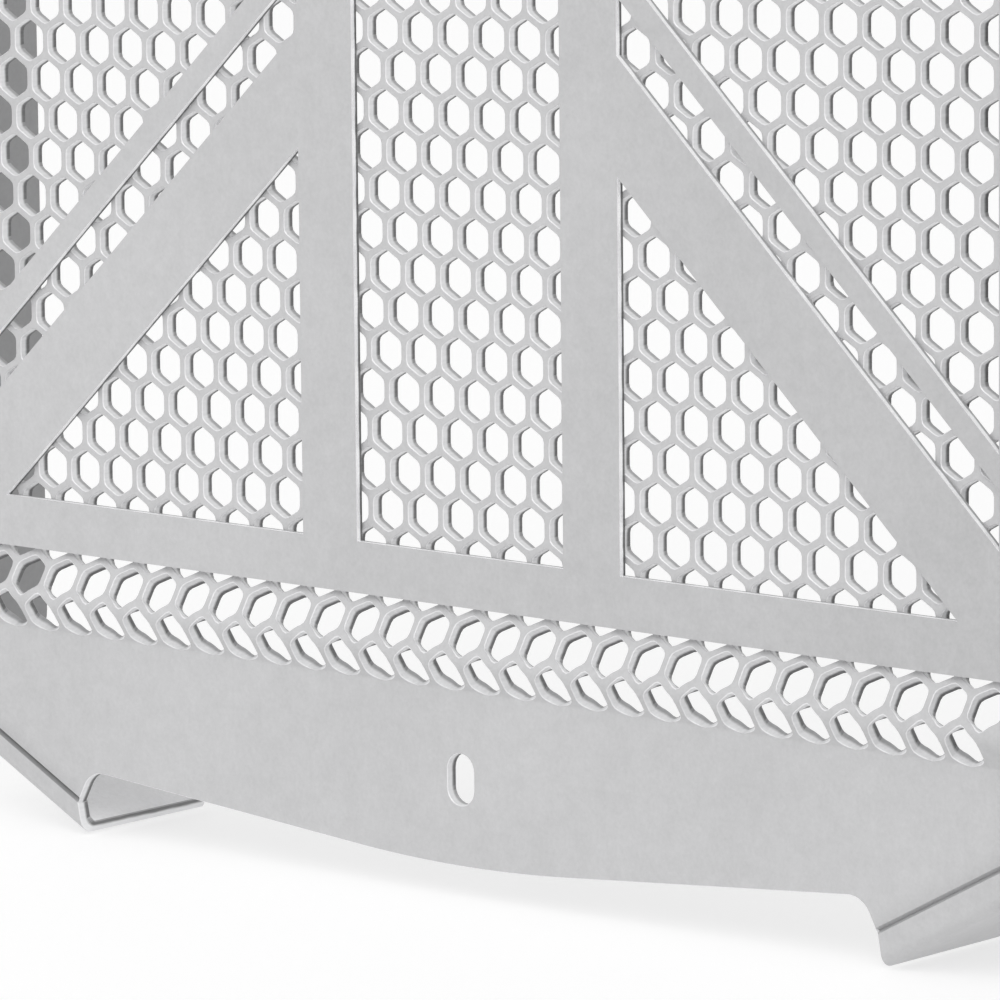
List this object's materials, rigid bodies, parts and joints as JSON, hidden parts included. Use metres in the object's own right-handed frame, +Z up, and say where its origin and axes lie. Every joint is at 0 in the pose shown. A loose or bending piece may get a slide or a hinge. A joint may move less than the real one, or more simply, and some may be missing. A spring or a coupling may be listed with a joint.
{
  "type": "motorcycle radiator guard",
  "caption": "Perforated metal radiator guard for a motorcycle, with folded side flanges, a joggled apron with fixing ears, and a flat front frame of crossed bars",
  "frame": {"origin": "midway between the two head slots, on the back face of the flat sheet", "axes": "+Z runs up the guard as it stands, +X to the right seen from in front, and the front faces -Y"},
  "size_m": [0.208, 0.03, 0.2807],
  "materials": {
    "sheet_aluminium": "satin, blasted",
    "frame_aluminium": "satin, blasted"
  },
  "bodies": {
    "root": {"perforated_sheet": "sheet_aluminium", "front_frame": "frame_aluminium"}
  },
  "joints": []
}
